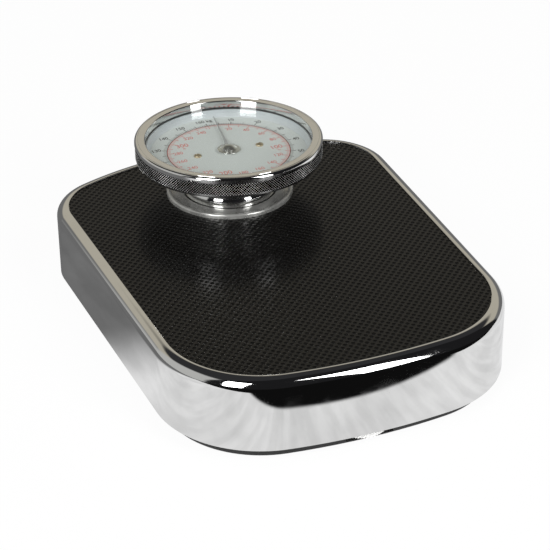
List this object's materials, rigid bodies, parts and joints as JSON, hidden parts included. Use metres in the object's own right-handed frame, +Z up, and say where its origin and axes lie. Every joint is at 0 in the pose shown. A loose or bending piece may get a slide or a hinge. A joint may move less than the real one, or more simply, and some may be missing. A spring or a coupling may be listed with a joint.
{
  "type": "mechanical bathroom scale",
  "caption": "Mechanical bathroom scale: bright metal platform with a patterned black mat, a raised round dial on a short neck at the rear and a zero wheel at the front.",
  "frame": {"origin": "middle of the footprint, on the floor under the feet", "axes": "+Z up, +Y from the toe end with the zero wheel towards the dial, +X to the right of a person facing the dial"},
  "size_m": [0.3072, 0.405, 0.1263],
  "materials": {
    "chrome": "polished",
    "mat": "satin, patterned",
    "pan": "satin",
    "feet": "matte",
    "steel": "zinc plated",
    "spring": "oiled",
    "brass": "satin",
    "glass": "clear",
    "dial": "matte",
    "needle": "matte",
    "nylon": "matte"
  },
  "bodies": {
    "base": {"base_pan": "pan", "rubber_feet": "feet", "fulcrum_brackets": "steel", "bracket_rivets": "steel", "dial_stand": "steel", "stand_screws": "steel", "neck_tube": "chrome", "dial_case": "chrome", "neck_screws": "steel", "bridge_screws": "steel", "bezel_ring": "chrome", "lens": "glass", "lens_gasket": "feet", "dial_plate": "dial", "dial_surround": "dial", "dial_bridge": "steel", "dial_screws": "brass", "spindle_bush": "brass", "pinion_frame": "steel", "hairspring": "brass", "crank_bracket": "steel", "crank_pin": "steel", "wheel_keeper": "steel", "main_spring": "spring"},
    "platform": {"platform_cover": "chrome", "platform_mat": "mat", "trim_ring": "chrome", "load_channels": "steel", "load_hangers": "steel"},
    "long_lever": {"long_lever": "steel", "long_lever_pins": "steel"},
    "short_lever": {"short_lever": "steel", "short_lever_pins": "steel"},
    "spring_plate": {"spring_plate": "steel"},
    "bell_crank": {"bell_crank": "steel"},
    "rack": {"rack_bar": "steel"},
    "pointer": {"spindle": "steel", "pinion": "brass", "hairspring_collet": "brass", "hub_flange": "chrome", "pointer_needle": "needle", "hub_cap": "chrome"},
    "zero_wheel": {"zero_wheel": "nylon"},
    "spring_rod": {"spring_rod": "steel", "spring_cap": "steel"}
  },
  "joints": [
    {"name": "platform_travel", "type": "slide", "parent": "base", "child": "platform", "axis": [0, 0, 1], "range_m": [-0.002, 0], "stiffness_N_per_m": 20000, "springref_m": 0.003},
    {"name": "long_lever_turn", "type": "hinge", "parent": "base", "child": "long_lever", "pos_m": [0, 0.15, 0.0405], "axis": [1, 0, 0], "range_deg": [0, 2.87]},
    {"name": "short_lever_turn", "type": "hinge", "parent": "base", "child": "short_lever", "pos_m": [0, -0.15, 0.049], "axis": [1, 0, 0], "range_deg": [-2.87, 0]},
    {"name": "spring_plate_travel", "type": "slide", "parent": "base", "child": "spring_plate", "axis": [0, 0, 1], "range_m": [-0.01618, 0], "deforming": ["main_spring"]},
    {"name": "bell_crank_turn", "type": "hinge", "parent": "base", "child": "bell_crank", "pos_m": [0.008, -0.143, 0.02335], "axis": [1, 0, 0], "range_deg": [0, 37.09]},
    {"name": "rack_travel", "type": "slide", "parent": "base", "child": "rack", "axis": [0, 1, 0], "range_m": [-0.01886, 0]},
    {"name": "pointer_turn", "type": "hinge", "parent": "base", "child": "pointer", "pos_m": [0, 0.112, 0.1125], "axis": [0, 0, 1], "range_deg": [-360.18, 0]},
    {"name": "zero_wheel_turn", "type": "hinge", "parent": "base", "child": "zero_wheel", "pos_m": [0, -0.1735, 0.0075], "axis": [0, 0, 1], "range_deg": [-360, 360]},
    {"name": "spring_rod_travel", "type": "slide", "parent": "base", "child": "spring_rod", "axis": [0, 0, 1], "range_m": [-0.001, 0.001]}
  ],
  "couplings": [
    {"joint": "long_lever_turn", "follows": "platform_travel", "rad_per_m": -25},
    {"joint": "short_lever_turn", "follows": "platform_travel", "rad_per_m": 25},
    {"joint": "spring_plate_travel", "follows": "platform_travel", "ratio": 8.0875},
    {"joint": "bell_crank_turn", "follows": "platform_travel", "rad_per_m": -323.5},
    {"joint": "rack_travel", "follows": "platform_travel", "ratio": 9.4248},
    {"joint": "pointer_turn", "follows": "platform_travel", "rad_per_m": 3141.6},
    {"joint": "spring_rod_travel", "follows": "zero_wheel_turn", "m_per_rad": 0.0001592}
  ]
}
